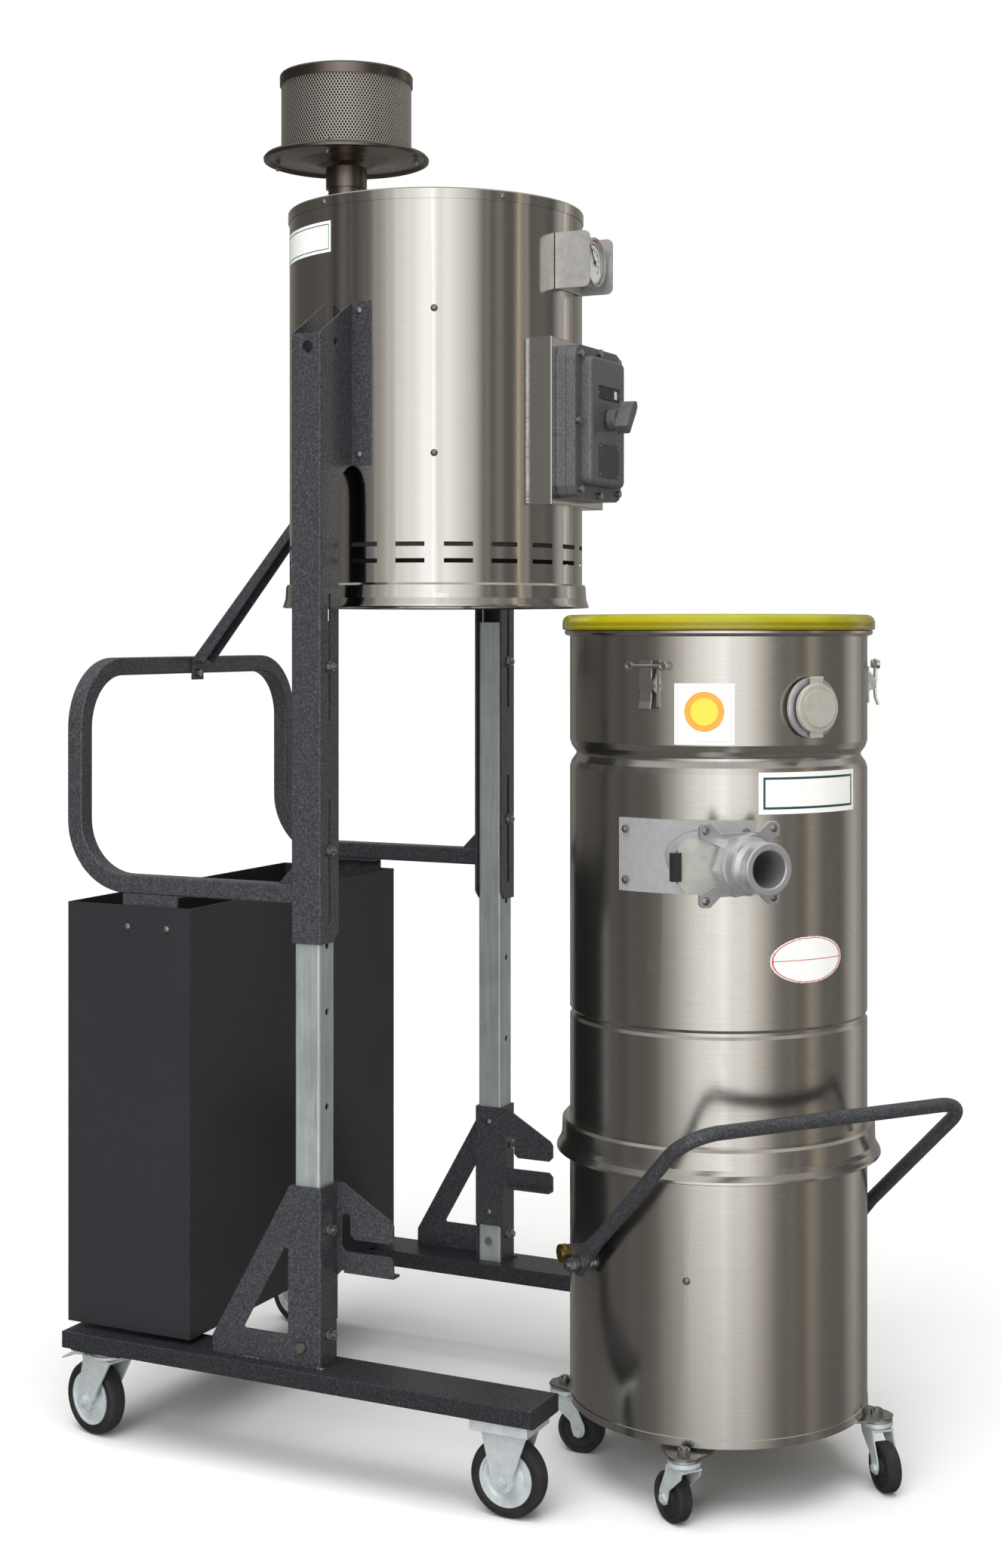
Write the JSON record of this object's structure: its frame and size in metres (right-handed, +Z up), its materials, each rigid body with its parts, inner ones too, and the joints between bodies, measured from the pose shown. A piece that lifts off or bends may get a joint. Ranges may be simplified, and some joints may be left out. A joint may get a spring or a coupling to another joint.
{
  "type": "dust collector",
  "caption": "Mobile industrial dust collector: motor head with perforated exhaust on a wheeled height-adjustable gantry, and a separate wheeled stainless tank with side inlet.",
  "frame": {"origin": "centre of the bounding box, on the floor", "axes": "+Z up, +X the way the tank rolls out, +Y to the left"},
  "size_m": [1.2023, 0.6227, 1.908],
  "materials": {
    "grey_paint": "hammertone grey enamel",
    "box_paint": "dark grey powder coat",
    "galvanised": "galvanised",
    "stainless": "brushed stainless",
    "screen_steel": "perforated stainless",
    "zinc": "bright zinc plate",
    "cast_alloy": "cast and machined",
    "cast_grey": "grey enamel on a casting",
    "rubber": "matt",
    "tyre_black": "matt",
    "gasket_yellow": "translucent yellow-green",
    "brass": "machined",
    "filter_paper": "pleated",
    "dark_plastic": "satin",
    "gauge_red": "black"
  },
  "bodies": {
    "gantry": {"base_frame": "grey_paint", "rail_end_caps": "dark_plastic", "column_tubes": "galvanised", "base_brackets": "grey_paint", "hook_plates": "grey_paint", "gantry_bolts": "zinc", "front_forks": "zinc"},
    "lift_frame": {"lift_channels": "grey_paint", "push_handle": "grey_paint", "handle_brace": "grey_paint", "storage_box": "box_paint", "head_drum": "stainless", "head_lid": "stainless", "exhaust_dish": "screen_steel", "exhaust_screen": "screen_steel", "exhaust_cap": "screen_steel", "gauge_guard": "stainless", "gauge_case": "stainless", "switch_housing": "cast_grey", "switch_cover": "cast_grey", "lift_screws": "zinc", "motor_deck": "galvanised", "motor": "cast_grey", "exhaust_filter": "filter_paper"},
    "fan": {"fan_wheel": "cast_alloy"},
    "knob": {"switch_knob": "cast_grey"},
    "needle": {"gauge_needle": "gauge_red"},
    "bin": {"bin_shell": "stainless", "bin_gasket": "rubber", "bin_fittings": "stainless"},
    "canister": {"canister_shell": "stainless", "tank_gasket": "gasket_yellow", "main_filter": "filter_paper", "inlet_saddle": "cast_alloy", "inlet_pipe": "cast_alloy", "inlet_coupling": "cast_alloy", "canister_fittings": "stainless"},
    "gate": {"gate_blade": "galvanised"},
    "port_lid": {"port_cap": "cast_alloy"},
    "bail": {"bail_handle": "grey_paint", "bail_rollers": "brass"},
    "latch_near": {"latch_lever_near": "stainless"},
    "latch_front": {"latch_lever_front": "stainless"},
    "latch_far": {"latch_lever_far": "stainless"},
    "front_wheel_right_body": {"front_wheel_right": "tyre_black"},
    "rear_caster_right": {"rear_fork_right": "zinc"},
    "rear_wheel_right_body": {"rear_wheel_right": "tyre_black"},
    "brake_right": {"brake_pedal_right": "zinc"},
    "front_wheel_left_body": {"front_wheel_left": "tyre_black"},
    "rear_caster_left": {"rear_fork_left": "zinc"},
    "rear_wheel_left_body": {"rear_wheel_left": "tyre_black"},
    "brake_left": {"brake_pedal_left": "zinc"},
    "tank_caster_near": {"tank_fork_near": "zinc"},
    "tank_wheel_near_body": {"tank_wheel_near": "tyre_black"},
    "tank_caster_front": {"tank_fork_front": "zinc"},
    "tank_wheel_front_body": {"tank_wheel_front": "tyre_black"},
    "tank_caster_far": {"tank_fork_far": "zinc"},
    "tank_wheel_far_body": {"tank_wheel_far": "tyre_black"},
    "tank_caster_rear": {"tank_fork_rear": "zinc"},
    "tank_wheel_rear_body": {"tank_wheel_rear": "tyre_black"}
  },
  "joints": [
    {"name": "head_lift", "type": "slide", "parent": "gantry", "child": "lift_frame", "axis": [0, 0, 1], "range_m": [-0.006, 0.065]},
    {"name": "fan_spin", "type": "hinge", "parent": "lift_frame", "child": "fan", "pos_m": [-0.1464, 0.00565, 1.38], "axis": [0, 0, 1], "continuous": true},
    {"name": "switch_turn", "type": "hinge", "parent": "lift_frame", "child": "knob", "pos_m": [0.1186, 0.00265, 1.395], "axis": [1, 0, 0], "range_deg": [0, 90]},
    {"name": "gauge_swing", "type": "hinge", "parent": "lift_frame", "child": "needle", "pos_m": [0.0986, 0.00565, 1.611], "axis": [1, 0, 0], "range_deg": [-200, 70]},
    {"name": "tank_roll", "type": "slide", "parent": "gantry", "child": "bin", "axis": [1, 0, 0], "range_m": [-0.36, 0.25]},
    {"name": "canister_lift", "type": "slide", "parent": "bin", "child": "canister", "axis": [0, 0, 1], "range_m": [0, 0.03]},
    {"name": "gate_push", "type": "slide", "parent": "canister", "child": "gate", "axis": [0.6157, 0.788, 0], "range_m": [0, 0.05]},
    {"name": "port_open", "type": "hinge", "parent": "canister", "child": "port_lid", "pos_m": [0.44986, -0.11189, 1.05], "axis": [-0.5592, -0.829, 0], "range_deg": [0, 120]},
    {"name": "bail_swing", "type": "hinge", "parent": "bin", "child": "bail", "pos_m": [0.2756, 0.00565, 0.297], "axis": [0.5943, 0.8043, 0], "range_deg": [-6, 40]},
    {"name": "latch_swing_near", "type": "hinge", "parent": "canister", "child": "latch_near", "pos_m": [0.25778, -0.19808, 1.04], "axis": [0.9962, -0.0872, 0], "range_deg": [0, 14]},
    {"name": "latch_swing_front", "type": "hinge", "parent": "canister", "child": "latch_front", "pos_m": [0.46094, 0.09207, 1.04], "axis": [-0.4226, 0.9063, 0], "range_deg": [0, 14]},
    {"name": "latch_swing_far", "type": "hinge", "parent": "canister", "child": "latch_far", "pos_m": [0.10808, 0.12294, 1.04], "axis": [-0.5736, -0.8192, 0], "range_deg": [0, 14]},
    {"name": "front_roll_right", "type": "hinge", "parent": "gantry", "child": "front_wheel_right_body", "pos_m": [0.0981, -0.2621, 0.05], "axis": [0, 1, 0], "continuous": true},
    {"name": "rear_swivel_right", "type": "hinge", "parent": "gantry", "child": "rear_caster_right", "pos_m": [-0.5134, -0.2621, 0.115], "axis": [0, 0, 1], "continuous": true},
    {"name": "rear_roll_right", "type": "hinge", "parent": "rear_caster_right", "child": "rear_wheel_right_body", "pos_m": [-0.54045, -0.25486, 0.05], "axis": [-0.2588, -0.9659, 0], "continuous": true},
    {"name": "brake_press_right", "type": "hinge", "parent": "rear_caster_right", "child": "brake_right", "pos_m": [-0.5501, -0.25227, 0.1058], "axis": [-0.2588, -0.9659, 0], "range_deg": [0, 8]},
    {"name": "front_roll_left", "type": "hinge", "parent": "gantry", "child": "front_wheel_left_body", "pos_m": [0.0981, 0.2734, 0.05], "axis": [0, 1, 0], "continuous": true},
    {"name": "rear_swivel_left", "type": "hinge", "parent": "gantry", "child": "rear_caster_left", "pos_m": [-0.5134, 0.2734, 0.115], "axis": [0, 0, 1], "continuous": true},
    {"name": "rear_roll_left", "type": "hinge", "parent": "rear_caster_left", "child": "rear_wheel_left_body", "pos_m": [-0.54045, 0.28064, 0.05], "axis": [-0.2588, -0.9659, 0], "continuous": true},
    {"name": "brake_press_left", "type": "hinge", "parent": "rear_caster_left", "child": "brake_left", "pos_m": [-0.5501, 0.28323, 0.1058], "axis": [-0.2588, -0.9659, 0], "range_deg": [0, 8]},
    {"name": "tank_swivel_near", "type": "hinge", "parent": "bin", "child": "tank_caster_near", "pos_m": [0.30845, -0.20177, 0.08], "axis": [0, 0, 1], "continuous": true},
    {"name": "tank_roll_near", "type": "hinge", "parent": "tank_caster_near", "child": "tank_wheel_near_body", "pos_m": [0.28879, -0.188, 0.0315], "axis": [-0.5736, -0.8192, 0], "continuous": true},
    {"name": "tank_swivel_front", "type": "hinge", "parent": "bin", "child": "tank_caster_front", "pos_m": [0.48302, 0.0385, 0.08], "axis": [0, 0, 1], "continuous": true},
    {"name": "tank_roll_front", "type": "hinge", "parent": "tank_caster_front", "child": "tank_wheel_front_body", "pos_m": [0.49907, 0.02066, 0.0315], "axis": [0.7431, 0.6691, 0], "continuous": true},
    {"name": "tank_swivel_far", "type": "hinge", "parent": "bin", "child": "tank_caster_far", "pos_m": [0.24275, 0.21306, 0.08], "axis": [0, 0, 1], "continuous": true},
    {"name": "tank_roll_far", "type": "hinge", "parent": "tank_caster_far", "child": "tank_wheel_far_body", "pos_m": [0.21875, 0.21306, 0.0315], "axis": [0, -1, 0], "continuous": true},
    {"name": "tank_swivel_rear", "type": "hinge", "parent": "bin", "child": "tank_caster_rear", "pos_m": [0.06818, -0.0272, 0.08], "axis": [0, 0, 1], "continuous": true},
    {"name": "tank_roll_rear", "type": "hinge", "parent": "tank_caster_rear", "child": "tank_wheel_rear_body", "pos_m": [0.09209, -0.02511, 0.0315], "axis": [-0.0872, 0.9962, 0], "continuous": true}
  ]
}
